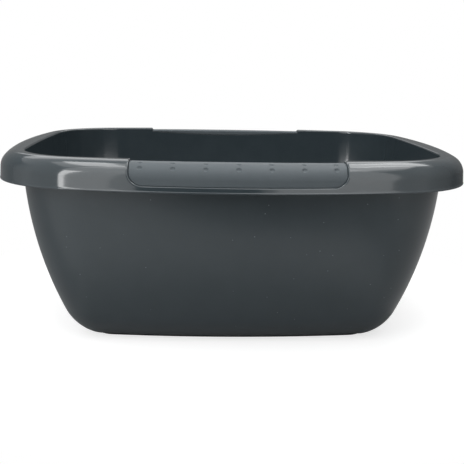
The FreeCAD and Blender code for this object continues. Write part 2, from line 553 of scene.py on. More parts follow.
@dataclass(frozen=True)
class Plans:
    """Plan outlines of the rim, of the tub at its top and of the foot ring."""

    wall: WallSection
    rim_half_length: float = 194.7
    rim_half_width: float = 169.7
    rim_long_radius: float = 536.0
    rim_short_radius: float = 600.0
    rim_corner: float = 82.0
    tub_half_length: float = 173.0
    tub_half_width: float = 148.0
    tub_long_radius: float = 900.0
    tub_short_radius: float = 1700.0
    base_corner: float = 10.5
    foot_set_in: float = 3.8
    foot_corner: float = 16.0

    @property
    def rim(self) -> PlanOutline:
        """Outside of the skirt.

        Returns:
            The outline.
        """
        return PlanOutline(
            half_length=self.rim_half_length,
            half_width=self.rim_half_width,
            long_radius=self.rim_long_radius,
            short_radius=self.rim_short_radius,
            corner_radius=self.rim_corner,
        )

    @property
    def tub(self) -> PlanOutline:
        """Outside of the wall at the height of the rim.

        Returns:
            The outline.
        """
        return PlanOutline(
            half_length=self.tub_half_length,
            half_width=self.tub_half_width,
            long_radius=self.tub_long_radius,
            short_radius=self.tub_short_radius,
            corner_radius=self.base_corner + self.wall.base_inset,
        )

    @property
    def foot(self) -> PlanOutline:
        """Outside of the foot ring, bowed as the tub is.

        Returns:
            The outline.
        """
        reach = self.wall.base_inset + self.foot_set_in
        return replace(
            self.tub,
            half_length=self.tub_half_length - reach,
            half_width=self.tub_half_width - reach,
            corner_radius=self.foot_corner,
        )


class Layer(Enum):
    """Skins that lie over each other where a grip sits in the rim."""

    SKIN = "outside of the rim"
    GRIP = "outside of the soft inlay"
    SEAT = "floor of the seat"


class Run(IntEnum):
    """Stretches of the rim's section, in order from the bead over the top and down inside."""

    SKIRT = 0
    SHOULDER = 1
    TOP = 2
    EDGE = 3
    LIP = 4
    INSIDE = 5


@dataclass(frozen=True)
class EdgeRadii:
    """Radii of an edge that runs up the rim's section, in order from its foot."""

    sill: float
    face: float
    top: float
    inside: float


@dataclass(frozen=True)
class RimSection:
    """Turned-down rim over one long side, as a sheet from the skirt over the top and down inside.

    Places on the sheet are an x and a length along the section, counted from the bead's top.
    """

    rim: PlanOutline
    tub: PlanOutline
    wall: WallSection
    thickness: float = 2.2
    depth: float = 22.4
    shoulder: float = 13.6
    draft: float = 0.45
    bead_height: float = 1.3
    bead_proud: float = 0.3
    edge_radius: float = 1.4
    recess: float = 1.6
    inlay: float = 1.8
    lip_thickness: float = 1.0
    sheet_end: float = 14.0
    flat_run: float = 8.4
    sill_share: float = 0.25
    edge_lead: float = 2.0

    @property
    def top(self) -> float:
        """Height of the rim's flat top."""
        return self.wall.height

    @property
    def bottom(self) -> float:
        """Height of the skirt's lower edge."""
        return self.top - self.depth

    @property
    def seat(self) -> float:
        """Depth of a grip's seat below the rim's skin."""
        return self.recess + self.inlay

    @property
    def bead_top(self) -> float:
        """Height at which the bead runs into the skirt."""
        return self.bottom + self.bead_height

    @property
    def springing(self) -> float:
        """Height of the shoulder's centre."""
        return self.top - self.shoulder

    def knots(self) -> list[float]:
        """Lengths along the section at which each run begins, and the end of the last one.

        Returns:
            The lengths, one more than there are runs.
        """
        runs = [
            math.hypot(self.draft, self.springing - self.bead_top),
            self.shoulder * math.pi / 2,
            self.flat_run,
            self.edge_radius * math.pi / 2,
            self.seat - self.edge_radius,
            self.sheet_end - self.seat,
        ]
        total = [0.0]
        for run in runs:
            total.append(total[-1] + run)
        return total

    def edge_at(self, along: float, radii: EdgeRadii) -> float:
        """Radius of an edge at a length along the section.

        Args:
            along: length along the section.
            radii: radii that the edge turns between.

        Returns:
            The radius there.
        """
        knots = self.knots()
        skirt = knots[Run.SHOULDER]
        rise = share_of(along, self.sill_share * skirt, skirt)
        over = share_of(along, skirt, knots[Run.TOP])
        down = share_of(along, knots[Run.EDGE] - self.edge_lead, knots[Run.LIP])
        return lerp(lerp(lerp(radii.sill, radii.face, rise), radii.top, over), radii.inside, down)

    def along_skirt(self, height: float) -> float:
        """Length along the section at a height of the skirt or the shoulder.

        Args:
            height: height between the bead and the rim's top.

        Returns:
            The length.
        """
        skirt = self.knots()[Run.SHOULDER]
        if height <= self.springing:
            return skirt * (height - self.bead_top) / (self.springing - self.bead_top)
        return skirt + self.shoulder * math.asin((height - self.springing) / self.shoulder)

    def along_inside(self, height: float) -> float:
        """Length along the section at a height of the inner face."""
        return self.knots()[Run.INSIDE] + self.top - self.seat - height

    def point(self, x: float, along: float, layer: Layer = Layer.SKIN) -> Vector:
        """Point of the front sheet.

        Args:
            x: place along the bowl.
            along: length along the section.
            layer: skin that the point is on.

        Returns:
            The point, in millimetres.
        """
        knots = self.knots()
        run = next((run for run in Run if along <= knots[run + 1]), Run.INSIDE)
        share = (along - knots[run]) / (knots[run + 1] - knots[run])
        sunk = {Layer.SKIN: 0.0, Layer.GRIP: self.recess, Layer.SEAT: self.seat}[layer]
        if run is Run.SKIRT:
            height = lerp(self.bead_top, self.springing, share)
            return Vector((x, self.rim.front_y(x, self.draft * share + sunk), height))
        if run is Run.SHOULDER:
            angle = share * math.pi / 2
            reach = self.shoulder - sunk
            inset = self.draft + self.shoulder - reach * math.cos(angle)
            return Vector((x, self.rim.front_y(x, inset), self.springing + reach * math.sin(angle)))
        return self._inner_point(x, run, share, sunk, layer)

    def _inner_point(self, x: float, run: Run, share: float, sunk: float, layer: Layer) -> Vector:
        """Point on the flat top, the inner edge or the inner face of the front sheet.

        Args:
            x: place along the bowl.
            run: stretch of the section.
            share: share of the way along that stretch.
            sunk: depth below the rim's skin.
            layer: skin that the point is on.

        Returns:
            The point, in millimetres.
        """
        level = self.top - sunk
        seat_level = self.top - self.seat
        inner = self.thickness - (self.lip_thickness if layer is Layer.SEAT else 0.0)
        round_off = 0.0 if layer is Layer.SEAT else self.edge_radius
        low = level - round_off
        edge_inset = self.wall.inset_at(low, inner)
        if run is Run.TOP:
            start = self.rim.front_y(x, self.draft + self.shoulder)
            end = self.tub.front_y(x, edge_inset - round_off)
            return Vector((x, lerp(start, end, share), level))
        if run is Run.EDGE:
            angle = share * math.pi / 2
            inset = edge_inset - round_off * (1 - math.sin(angle))
            return Vector((x, self.tub.front_y(x, inset), low + round_off * math.cos(angle)))
        if run is Run.LIP:
            height = lerp(low, seat_level, share)
        else:
            height = lerp(seat_level, self.top - self.sheet_end, share)
        return Vector((x, self.tub.front_y(x, self.wall.inset_at(height, inner)), height))

    def sunk(self, place: Flat, depth: float, layer: Layer, most: float = 1.0) -> Vector:
        """Point of the front sheet at a depth below a layer, on the way to the seat's floor.

        Args:
            place: an x and a length along the section.
            depth: depth below the layer.
            layer: skin that the depth is counted from.
            most: largest share of the way to the floor.

        Returns:
            The point, in millimetres.
        """
        start = self.point(*place, layer)
        floor = self.point(*place, Layer.SEAT)
        return start.lerp(floor, min(most, depth / (floor - start).length))


# Mesh drafts


@dataclass
class MeshDraft:
    """Points and faces of a piece while it is put together, in millimetres."""

    points: list[Vector] = field(default_factory=list)
    faces: list[tuple[int, ...]] = field(default_factory=list)
    polish: list[float] = field(default_factory=list)

    def add(self, points: Iterable[Vector], polish: float = 0.0) -> list[int]:
        """Adds points, all with one degree of polish, and returns their numbers.

        Args:
            points: the points, in millimetres.
            polish: how far the mould was polished there.

        Returns:
            The numbers of the points.
        """
        first = len(self.points)
        self.points += [Vector(point) for point in points]
        self.polish += [polish] * (len(self.points) - first)
        return list(range(first, len(self.points)))

    def bridge(self, low: Sequence[int], high: Sequence[int], skip: Iterable[int] = ()) -> None:
        """Joins two closed rings by a band of faces.

        Args:
            low: points of the first ring, against the clock seen from outside.
            high: points of the second ring.
            skip: numbers of the faces to leave out.
        """
        left_out = set(skip)
        count = len(low)
        for index in range(count):
            if index not in left_out:
                after = (index + 1) % count
                self.faces.append((low[index], low[after], high[after], high[index]))

    def fan(self, ring: Sequence[int], centre: int) -> None:
        """Closes a ring with triangles to one point, on the side that the ring turns round."""
        for index, start in enumerate(ring):
            self.faces.append((start, ring[(index + 1) % len(ring)], centre))

    def grid(self, rows: Sequence[Sequence[int]], flip: bool = False) -> None:
        """Fills a grid of points with faces, facing the other way if flipped.

        Args:
            rows: numbers of the points, row by row.
            flip: whether the faces are turned over.
        """
        for low, high in zip(rows, rows[1:]):
            for index in range(len(low) - 1):
                face = (low[index], low[index + 1], high[index + 1], high[index])
                self.faces.append(face[::-1] if flip else face)

    def piece(self, name: str, material: bpy.types.Material) -> bpy.types.Object:
        """Turns the draft into an object with smooth faces.

        Args:
            name: name of the piece.
            material: its finish.

        Returns:
            The object, at the origin, in metres.
        """
        used = sorted({number for face in self.faces for number in face})
        place = {number: index for index, number in enumerate(used)}
        faces = [tuple(place[number] for number in face) for face in self.faces]
        mesh = bpy.data.meshes.new(name)
        mesh.from_pydata([self.points[number] * MM for number in used], [], faces)
        mesh.validate()
        mesh.shade_smooth()
        layer = mesh.attributes.new("polish", "FLOAT", "POINT")
        layer.data.foreach_set("value", [self.polish[number] for number in used])
        mesh.materials.append(material)
        return new_object(name, mesh)


@dataclass(frozen=True)
class GripOutline:
    """Closed outline of a grip's seat on the front sheet, as four sides with a count of points each."""

    section: RimSection
    half: float = 79.5
    sill: float = 4.8
    corner: float = 10.0
    lip_drop: float = 3.2

    @property
    def low(self) -> float:
        """Height of the sill."""
        return self.section.bottom + self.sill

    def corner_places(self, start: float, end: float, steps: int) -> list[Flat]:
        """Places round the lower right corner.

        Args:
            start: angle of the first place, with 0 at the sill.
            end: angle of the last place.
            steps: steps from one to the other.

        Returns:
            An x and a height for each place.
        """
        places = []
        for angle in spread(start, end, steps):
            x = self.half - self.corner * (1 - math.sin(angle))
            places.append((x, self.low + self.corner * (1 - math.cos(angle))))
        return places

    def upright_rows(self, steps: Sequence[int]) -> list[float]:
        """Lengths along the section on an upright side above its corner.

        Args:
            steps: steps on the shoulder, the top, the edge and the lip.

        Returns:
            The lengths, from low to high.
        """
        rows: list[float] = []
        start = self.section.along_skirt(self.low + self.corner)
        for end, count in zip(self.section.knots()[Run.TOP:], steps):
            rows += spread(start, end, count)[1:]
            start = end
        return rows

    def sides(self, columns: int, steps: Sequence[int], turn_steps: int) -> list[list[Flat]]:
        """Bottom, right, top and left sides, in order round the outline.

        Args:
            columns: steps along the sill between its corners.
            steps: steps of the upright sides on the shoulder, the top, the edge and the lip.
            turn_steps: steps on each half of a lower corner.

        Returns:
            Four lists of an x and a length along the section; each ends where the next begins.
        """
        quarter = math.pi / 2
        bend = self.corner_places(quarter / 2, 0.0, turn_steps)
        rise = self.corner_places(quarter / 2, quarter, turn_steps)
        reach = self.half - self.corner
        sill = [(share * reach, self.low) for share in spread(-1.0, 1.0, columns)]
        floor = [(-x, z) for x, z in bend] + sill[1:-1] + bend[::-1]
        bottom = [(x, self.section.along_skirt(z)) for x, z in floor]
        right = [(x, self.section.along_skirt(z)) for x, z in rise]
        right += [(self.half, row) for row in self.upright_rows(steps)]
        lip = [(x, self.lip_along(x)) for x in self.lip_columns(bottom)]
        left = [(-x, along) for x, along in right]
        return [bottom, right, lip[::-1], left[::-1]]

    def lip_columns(self, bottom: Sequence[Flat]) -> list[float]:
        """Places across the lip, spaced as those along the bottom."""
        stretch = self.half / bottom[-1][0]
        return [x * stretch for x, _ in bottom]

    def lip_along(self, x: float) -> float:
        """Length along the section of the lip's lower edge, which hangs in a shallow arc.

        Args:
            x: place along the bowl.

        Returns:
            The length.
        """
        radius = (self.half ** 2 + self.lip_drop ** 2) / (2 * self.lip_drop)
        end = self.section.top - self.section.seat
        sag = math.sqrt(radius ** 2 - x ** 2) - (radius - self.lip_drop)
        return self.section.along_inside(end - max(sag, 0.0))

    @staticmethod
    def loop(sides: Sequence[Sequence[Flat]]) -> list[Flat]:
        """The four sides as one closed ring."""
        return [place for side in sides for place in side[:-1]]

    @staticmethod
    def moved_out(ring: Sequence[Flat], reaches: Sequence[float]) -> list[Flat]:
        """Moves a ring out, along the mitre at each point.

        Args:
            ring: places of a closed ring.
            reaches: how far each moves out, or in where it is negative.

        Returns:
            The moved ring.
        """
        moved = []
        count = len(ring)
        sharpest = 0.5
        for index, ((x, along), reach) in enumerate(zip(ring, reaches)):
            before, after = ring[index - 1], ring[(index + 1) % count]
            first = Vector((x - before[0], along - before[1])).normalized()
            second = Vector((after[0] - x, after[1] - along)).normalized()
            middle = (first + second).normalized()
            mitre = reach / max(sharpest, middle.dot(second))
            moved.append((x + middle.y * mitre, along - middle.x * mitre))
        return moved

    def rounded(
        self,
        ring: Sequence[Flat],
        edges: Sequence[float],
        outward: float,
        steps: int,
    ) -> list[Level]:
        """Rings that round off the edge over an upright side.

        Args:
            ring: outline of the upright side.
            edges: radius of the edge at each place.
            outward: 1 for an edge that opens out of the ring, -1 for one that closes in over it.
            steps: steps round the edge.

        Returns:
            Rings from the face to the upright side, with the depths of their places.
        """
        levels = []
        for angle in spread(0.0, math.pi / 2, steps):
            reaches = [outward * edge * (1 - math.sin(angle)) for edge in edges]
            depths = [edge * (1 - math.cos(angle)) for edge in edges]
            levels.append((self.moved_out(ring, reaches), depths))
        return levels

    @staticmethod
    def split(ring: Sequence[Flat], across: int, up: int) -> list[list[Flat]]:
        """Takes a ring apart into its sides.

        Args:
            ring: places of a closed ring.
            across: steps along its bottom.
            up: steps along its upright sides.

        Returns:
            Its bottom, right, top and left sides.
        """
        closed = list(ring) + [ring[0]]
        cuts = (0, across, across + up, 2 * across + up, 2 * (across + up))
        return [closed[start:end + 1] for start, end in zip(cuts, cuts[1:])]

    @staticmethod
    def inside(sides: Sequence[Sequence[Flat]]) -> list[list[Flat]]:
        """Spreads a grid of places between the four sides.

        Args:
            sides: bottom, right, top and left sides of an outline.

        Returns:
            Rows of places from the bottom to the top, with the sides as their ends.
        """
        bottom, right, top, left = sides[0], sides[1], sides[2][::-1], sides[3][::-1]
        width = bottom[-1][0] - bottom[0][0]
        rise = left[-1][1] - left[0][1]
        rows = []
        for start, end in zip(left, right):
            v = (start[1] - left[0][1]) / rise
            row = []
            for low, high in zip(bottom, top):
                u = (low[0] - bottom[0][0]) / width
                place = []
                for k in (0, 1):
                    across = lerp(start[k], end[k], u) + lerp(low[k], high[k], v)
                    corners = lerp(lerp(bottom[0][k], bottom[-1][k], u), lerp(top[0][k], top[-1][k], u), v)
                    place.append(across - corners)
                row.append((place[0], place[1]))
            rows.append(row)
        return rows


def patch_numbers(ring: Sequence[int], across: int, up: int, inner: Sequence[int]) -> list[list[int]]:
    """Point numbers of a grid that has a ring as its border.

    Args:
        ring: numbers of the border's points, from the lower left.
        across: steps along its bottom.
        up: steps along its upright sides.
        inner: numbers of the other points, row by row.

    Returns:
        Rows of numbers from the bottom to the top.
    """
    width = across - 1
    rows = [list(ring[:across + 1])]
    total = len(ring)
    for r in range(1, up):
        row = [ring[total - r]] + list(inner[(r - 1) * width:r * width]) + [ring[across + r]]
        rows.append(row)
    rows.append([ring[index] for index in range(2 * across + up, across + up - 1, -1)])
    return rows


# Finishes


def new_material(name: str) -> tuple[bpy.types.Material, Graph]:
    """An empty material and the graph of its nodes.

    Args:
        name: name of the material.

    Returns:
        The material and its graph.
    """
    material = bpy.data.materials.new(name)
    material.use_nodes = True
    return material, Graph(material.node_tree)


def mix_colours(
    graph: Graph,
    share: Socket,
    first: Sequence[float] | bpy.types.NodeSocket,
    second: Sequence[float] | bpy.types.NodeSocket,
) -> bpy.types.NodeSocket:
    """Mixes two colours.

    Args:
        graph: nodes of the world or of a material.
        share: varying share of the second colour.
        first: colour where the share is 0.
        second: colour where the share is 1.

    Returns:
        The mixed colour.
    """
    factor, colour_a, colour_b, result = 0, 6, 7, 2
    inputs = {factor: share, colour_a: first, colour_b: second}
    return graph.node("ShaderNodeMix", {"data_type": "RGBA"}, inputs).outputs[result]


@dataclass(frozen=True)
class Noise:
    """Noise from 0 to 1 on object coordinates, with a number of features to the metre."""

    scale: float
    detail: float = 4.0
    roughness: float = 0.6

    def value(self, graph: Graph) -> Socket:
        """The noise in a material.

        Args:
            graph: the material's nodes.

        Returns:
            The noise as a value.
        """
        inputs = {
            "Vector": graph.value("ShaderNodeTexCoord", output="Object"),
            "Scale": self.scale,
            "Detail": self.detail,
            "Roughness": self.roughness,
        }
        return graph.value("ShaderNodeTexNoise", {"noise_dimensions": "3D"}, inputs)


@dataclass(frozen=True)
class Tint:
    """Two screen colours that a surface wanders between, by a share of mottle and the rest of grain."""

    dark: Shade
    light: Shade
    mottle_share: float = 0.5
    low: float = 0.3
    high: float = 0.7

    def colour(self, graph: Graph, mottle: Socket, grain: Socket) -> bpy.types.NodeSocket:
        """The varying colour in a material.

        Args:
            graph: the material's nodes.
            mottle: coarse noise.
            grain: fine noise.

        Returns:
            The colour.
        """
        blend = mottle * self.mottle_share + grain * (1 - self.mottle_share)
        return mix_colours(graph, blend.step(self.low, self.high), srgb(self.dark), srgb(self.light))


@dataclass(frozen=True)
class Relief:
    """Gloss of a skin and the height of its grain in metres."""

    gloss: float
    height: float

    def dress(self, graph: Graph, colour: bpy.types.NodeSocket, rough: Socket, grain: Socket) -> None:
        """Ends a material with one skin.

        Args:
            graph: the material's nodes.
            colour: its varying colour.
            rough: its varying roughness.
            grain: its grain, from 0 to 1.
        """
        bump = {"Strength": 1.0, "Distance": self.height, "Height": grain}
        skin = graph.node("ShaderNodeBsdfPrincipled", None, {
            "Base Color": colour,
            "Roughness": rough,
            "Specular IOR Level": self.gloss,
            "Normal": graph.value("ShaderNodeBump", None, bump),
        })
        graph.node("ShaderNodeOutputMaterial", None, {"Surface": skin.outputs[0]})


@dataclass(frozen=True)
class MouldedPlastic:
    """Dark polypropylene: satin where the mould was eroded, glossy where it was polished."""

    name: str = "slate_polypropylene"
    tint: Tint = Tint((44, 52, 56), (48, 56, 60), mottle_share=0.55)
    relief: Relief = Relief(gloss=0.5, height=0.000012)
    grain: Noise = Noise(1500.0, detail=3.0)
    mottle: Noise = Noise(60.0)
    satin_rough: float = 0.36
    polished_rough: float = 0.09
    rough_play: float = 0.05
    polish_evens: float = 0.9
    speck: Shade = (112, 121, 123)
    speck_scale: float = 100.0
    speck_size: float = 0.05
    dusty_up_to: float = 0.12
    clean_from: float = 0.3

    def make(self) -> bpy.types.Material:
        """The material, which reads how polished each point of the mould was.

        Returns:
            The finished material.
        """
        material, graph = new_material(self.name)
        polish = graph.value("ShaderNodeAttribute", {"attribute_name": "polish"}, output="Fac")
        grain, mottle = self.grain.value(graph), self.mottle.value(graph)
        cells = {"Vector": graph.value("ShaderNodeTexCoord", output="Object"), "Scale": self.speck_scale}
        off = graph.value("ShaderNodeTexVoronoi", None, cells, "Distance")
        specks = 1.0 - off.step(self.speck_size / 2, self.speck_size)
        dusty = specks * (1.0 - polish.step(self.dusty_up_to, self.clean_from))
        colour = mix_colours(graph, dusty, self.tint.colour(graph, mottle, grain), srgb(self.speck))
        rough_change = self.polished_rough - self.satin_rough
        rough = polish * rough_change + self.satin_rough + (mottle - 0.5) * self.rough_play
        self.relief.dress(graph, colour, rough, grain * (1.0 - polish * self.polish_evens))
        return material


@dataclass(frozen=True)
class SoftRubber:
    """Matte elastomer with a fine dry grain."""

    name: str
    tint: Tint
    rough: float
    relief: Relief
    rough_play: float = 0.08
    grain: Noise = Noise(2200.0, detail=2.0, roughness=0.5)
    mottle: Noise = Noise(90.0)

    def make(self) -> bpy.types.Material:
        """The material.

        Returns:
            The finished material.
        """
        material, graph = new_material(self.name)
        grain, mottle = self.grain.value(graph), self.mottle.value(graph)
        rough = self.rough + (mottle - 0.5) * self.rough_play
        self.relief.dress(graph, self.tint.colour(graph, mottle, grain), rough, grain)
        return material


GRIP_RUBBER = SoftRubber(
    name="slate_soft_grip",
    tint=Tint((62, 69, 73), (67, 74, 78)),
    rough=0.58,
    relief=Relief(gloss=0.32, height=0.00004),
)
# The foot ring's near-black tint is painted shadow: it draws the dark line of contact shadow along the
# bottom edge of the bowl.
FOOT_RUBBER_PAINTED_SHADOW = SoftRubber(
    name="foot_rubber_painted_shadow",
    tint=Tint((16, 17, 18), (24, 25, 26)),
    rough=0.75,
    relief=Relief(gloss=0.4, height=0.00004),
)


# Pieces of the bowl


class Polish(Enum):
    """How far each part of the mould was polished, from eroded to mirror."""

    UNDERSIDE = 0.0
    OUTER_WALL = 0.1
    UNDER_RIM = 0.1
    RIM = 1.0
    INSIDE = 0.95


@dataclass(frozen=True)
class Ring:
    """One ring of the moulding, with its points in the order of the stations."""

    points: list[Vector]
    polish: float
    along: float = 0.0


@dataclass
class Moulding:
    """The tub with its turned-down rim, the seats of the grips and the groove of the foot ring.

    A turn, and the tip and the foot of the gate mark, list rings as a distance sideways and a rise.
    A spacing lists the shares at which rings lie between two others.
    """

    section: RimSection
    outline: GripOutline
    foot: PlanOutline
    stations: Stations = field(default_factory=Stations)
    floor_thickness: float = 2.6
    foot_width: float = 6.0
    groove_depth: float = 0.7
    groove_gap: float = 0.08
    gate_radius: float = 3.0
    gate_tip: tuple[Flat, ...] = ((-0.6, -0.8), (-0.15, -0.72), (0.0, -0.5))
    gate_foot: tuple[Flat, ...] = ((0.0, -0.1), (0.15, 0.0), (1.0, 0.0))
    base_spacing: tuple[float, ...] = (0.2, 0.45, 0.7, 0.9, 0.99, 1.0)
    base_turn: tuple[Flat, ...] = ((1.2, 0.0), (0.4, 0.02))
    wall_start: float = 0.15
    wall_steps: tuple[int, int] = (16, 22)
    under_flat_steps: int = 4
    under_shoulder_steps: int = 9
    under_skirt_share: float = 0.6
    frame_border: float = 2.2
    frame_ramp: float = 0.6
    frame_step: float = 0.02
    skirt_inner_turn: tuple[Flat, ...] = ((2.2, 0.8), (2.17, 0.3), (2.0, 0.08), (1.6, 0.0))
    skirt_outer_turn: tuple[Flat, ...] = ((0.5, 0.0), (0.15, 0.03))
    bead_span: Flat = (-0.92, 0.97)
    bead_steps: int = 9
    turn_steps: int = 6
    shoulder_steps: int = 16
    flat_steps: int = 5
    edge_steps: int = 6
    lip_steps: int = 2
    inside_steps: int = 6
    inner_wall_start: float = 0.5
    inner_wall_steps: tuple[int, int] = (14, 18)
    floor_turn: tuple[Flat, ...] = ((1.1, 0.12), (2.6, 0.0))
    floor_spacing: tuple[float, ...] = (0.04, 0.15, 0.4, 0.7, 1.0)
    floor_middle: float = 6.0
    seat_edges: EdgeRadii = EdgeRadii(sill=0.7, face=1.7, top=1.5, inside=0.15)
    seat_spacing: tuple[float, ...] = (0.35, 0.65, 0.88)
    seat_borders: Flat = (0.5, 0.15)
    seat_edge_steps: int = 7
    seat_drops: tuple[float, ...] = (0.2, 0.8, FULL_DEPTH)

    def loop(self, plan: PlanOutline, inset: float, height: float) -> list[Vector]:
        """Points of a plan outline at every station, moved in by an inset.

        Args:
            plan: the outline.
            inset: how far the points lie in from it.
            height: their height.

        Returns:
            The points in the order of the stations.
        """
        arcs = plan.arcs()
        return [
            Vector((*arcs[arc].point(share, inset), height))
            for arc, share in self.stations.places()
        ]

    @staticmethod
    def between(first: Sequence[Vector], second: Sequence[Vector], share: float) -> list[Vector]:
        """Ring a share of the way between two others."""
        return [a.lerp(b, share) for a, b in zip(first, second)]

    def circle(self, radius: float, height: float) -> list[Vector]:
        """Round ring, with its points in the directions of the stations.

        Args:
            radius: radius of the ring.
            height: its height.

        Returns:
            The points in the order of the stations.
        """
        rise = Vector((0.0, 0.0, height))
        return [point.normalized() * radius + rise for point in self.loop(self.foot, self.foot_width, 0.0)]

    def base_rings(self) -> list[Ring]:
        """Underside, from the gate mark over the foot groove to the edge of the wall.

        Returns:
            The rings in their order on the skin.
        """
        wall = self.section.wall
        low = wall.base_height
        roof = low + self.groove_depth
        inner, outer = self.foot_width + self.groove_gap, -self.groove_gap
        gate = self.gate_tip + self.gate_foot
        rings = [self.circle(self.gate_radius + reach, low + rise) for reach, rise in gate]
        start, end = rings[-1], self.loop(self.foot, inner, low)
        rings += [self.between(start, end, share) for share in self.base_spacing]
        groove = ((inner, roof), (outer, roof), (outer, low))
        rings += [self.loop(self.foot, inset, height) for inset, height in groove]
        for inset, rise in self.base_turn:
            rings.append(self.loop(self.section.tub, wall.base_inset + inset, low + rise))
        return [Ring(points, Polish.UNDERSIDE.value) for points in rings]

    def wall_rings(self) -> list[Ring]:
        """Outside of the wall, up to the underside of the rim.

        Returns:
            The rings in their order on the skin.
        """
        section = self.section
        low = section.wall.base_height + self.wall_start
        high = section.top - section.thickness - section.seat
        climb = section.wall.climb(0.0, low, high, *self.wall_steps)
        return [Ring(self.loop(section.tub, inset, z), Polish.OUTER_WALL.value) for inset, z in climb]

    @property
    def frame_low(self) -> float:
        """Height of the lower edge of the frame behind a grip."""
        return self.outline.low - self.frame_border

    def frame_share(self, point: Vector) -> float:
        """How far the frame behind a grip thickens the rim.

        Args:
            point: point of the rim's underside.

        Returns:
            1 behind a grip, 0 beside or below it, with a short ramp between.
        """
        if point.z < self.frame_low:
            return 0.0
        room = self.outline.half + self.frame_border - abs(point.x)
        return share_of(room, -self.frame_ramp / 2, self.frame_ramp / 2)

    def under_rim_rings(self) -> list[Ring]:
        """Underside of the rim: its flat, the inside of the shoulder and the inside of the skirt.

        Returns:
            The rings in their order on the skin.
        """
        section = self.section
        tub_top = section.wall.inset_at(section.top - section.thickness, 0.0)
        rings: list[list[Vector]] = []

        def layered(make: Callable[[float], list[Vector]]) -> list[Vector]:
            """Ring of thin rim, thickened where a grip's frame backs it."""
            thin, thick = make(section.thickness), make(section.thickness + section.seat)
            return [a.lerp(b, self.frame_share(a)) for a, b in zip(thin, thick)]

        corner = section.draft + section.shoulder
        for share in spread(0.0, 1.0, self.under_flat_steps):
            rings.append(layered(lambda depth: self.between(
                self.loop(section.tub, tub_top, section.top - depth),
                self.loop(section.rim, corner, section.top - depth),
                share,
            )))
        for angle in spread(math.pi / 2, 0.0, self.under_shoulder_steps)[1:]:
            rings.append(layered(lambda depth: self.loop(
                section.rim,
                corner - (section.shoulder - depth) * math.cos(angle),
                section.springing + (section.shoulder - depth) * math.sin(angle),
            )))
        middle = lerp(section.springing, self.frame_low, self.under_skirt_share)
        for z in (middle, self.frame_low + self.frame_step / 2, self.frame_low - self.frame_step / 2):
            rings.append(layered(lambda depth: self.loop(section.rim, depth, z)))
        return [Ring(points, Polish.UNDER_RIM.value) for points in rings]

    def bead_rings(self) -> list[Ring]:
        """Lower edge of the skirt and the bead along it.

        Returns:
            The rings in their order on the skin.
        """
        section = self.section
        low, half = section.bottom, section.bead_height / 2
        radius = (half ** 2 + section.bead_proud ** 2) / (2 * section.bead_proud)
        swing = math.asin(half / radius)
        places = [(inset, low + rise) for inset, rise in self.skirt_inner_turn + self.skirt_outer_turn]
        start, end = (swing * share for share in self.bead_span)
        for angle in spread(start, end, self.bead_steps):
            reach = radius * math.cos(angle) - (radius - section.bead_proud)
            places.append((-reach, low + half + radius * math.sin(angle)))
        return [Ring(self.loop(section.rim, inset, z), Polish.RIM.value) for inset, z in places]

    def sheet_lengths(self) -> list[float]:
        """Lengths along the section of the sheet's rings, from the bead over the top and down inside.

        Returns:
            The lengths, one for each ring.
        """
        knots = self.section.knots()
        outer = (self.turn_steps, self.shoulder_steps, self.flat_steps)
        steps = outer + (self.edge_steps, self.lip_steps, self.inside_steps)
        lengths = [0.0]
        for low, high, count in zip(knots, knots[1:], steps):
            lengths += spread(low, high, count)[1:]
        return lengths

    def sheet_rings(self) -> list[Ring]:
        """Rings of the rim's skin all round, over the same section as the sheet of a long side.

        Returns:
            The rings in their order on the skin.
        """
        section = self.section
        knots = section.knots()
        made = []
        for along in self.sheet_lengths():
            probe = section.point(0.0, along)
            if along <= knots[Run.TOP]:
                inset = section.rim.long_radius - (section.rim.front_axis - probe.y)
                points = self.loop(section.rim, inset, probe.z)
            elif along < knots[Run.EDGE]:
                share = share_of(along, knots[Run.TOP], knots[Run.EDGE])
                outer = self.loop(section.rim, section.draft + section.shoulder, section.top)
                points = self.between(outer, self.top_edge(), share)
            else:
                inset = section.tub.long_radius - (section.tub.front_axis - probe.y)
                points = self.loop(section.tub, inset, probe.z)
            polish = Polish.RIM if along <= knots[Run.LIP] else Polish.INSIDE
            made.append(Ring(points, polish.value, along))
        return made

    def top_edge(self) -> list[Vector]:
        """Ring at which the flat top begins to round over into the bowl.

        Returns:
            The points in the order of the stations.
        """
        section = self.section
        low = section.top - section.edge_radius
        inset = section.wall.inset_at(low, section.thickness) - section.edge_radius
        return self.loop(section.tub, inset, section.top)

    def inside_rings(self) -> list[Ring]:
        """Inner face of the wall and the floor, down to the middle.

        Returns:
            The rings in their order on the skin.
        """
        section = self.section
        wall = section.wall
        floor = wall.base_height + self.floor_thickness
        low, high = floor + self.inner_wall_start, section.top - section.sheet_end
        climb = wall.climb(section.thickness, low, high, *self.inner_wall_steps)
        rings = [self.loop(section.tub, inset, z) for inset, z in reversed(climb[:-1])]
        edge = climb[0][0]
        rings += [self.loop(section.tub, edge + inset, floor + rise) for inset, rise in self.floor_turn]
        border, middle = rings[-1], self.circle(self.floor_middle, floor)
        rings += [self.between(border, middle, share) for share in self.floor_spacing]
        return [Ring(points, Polish.INSIDE.value) for points in rings]

    def outline_sides(self) -> list[list[Flat]]:
        """The seat's outline with as many points on each side as the sheet's border has.

        Returns:
            Its bottom, right, top and left sides.
        """
        across = self.stations.window_steps - 2 * self.turn_steps
        lip_steps = self.lip_steps + self.inside_steps
        steps = (self.shoulder_steps, self.flat_steps, self.edge_steps, lip_steps)
        return self.outline.sides(across, steps, self.turn_steps)

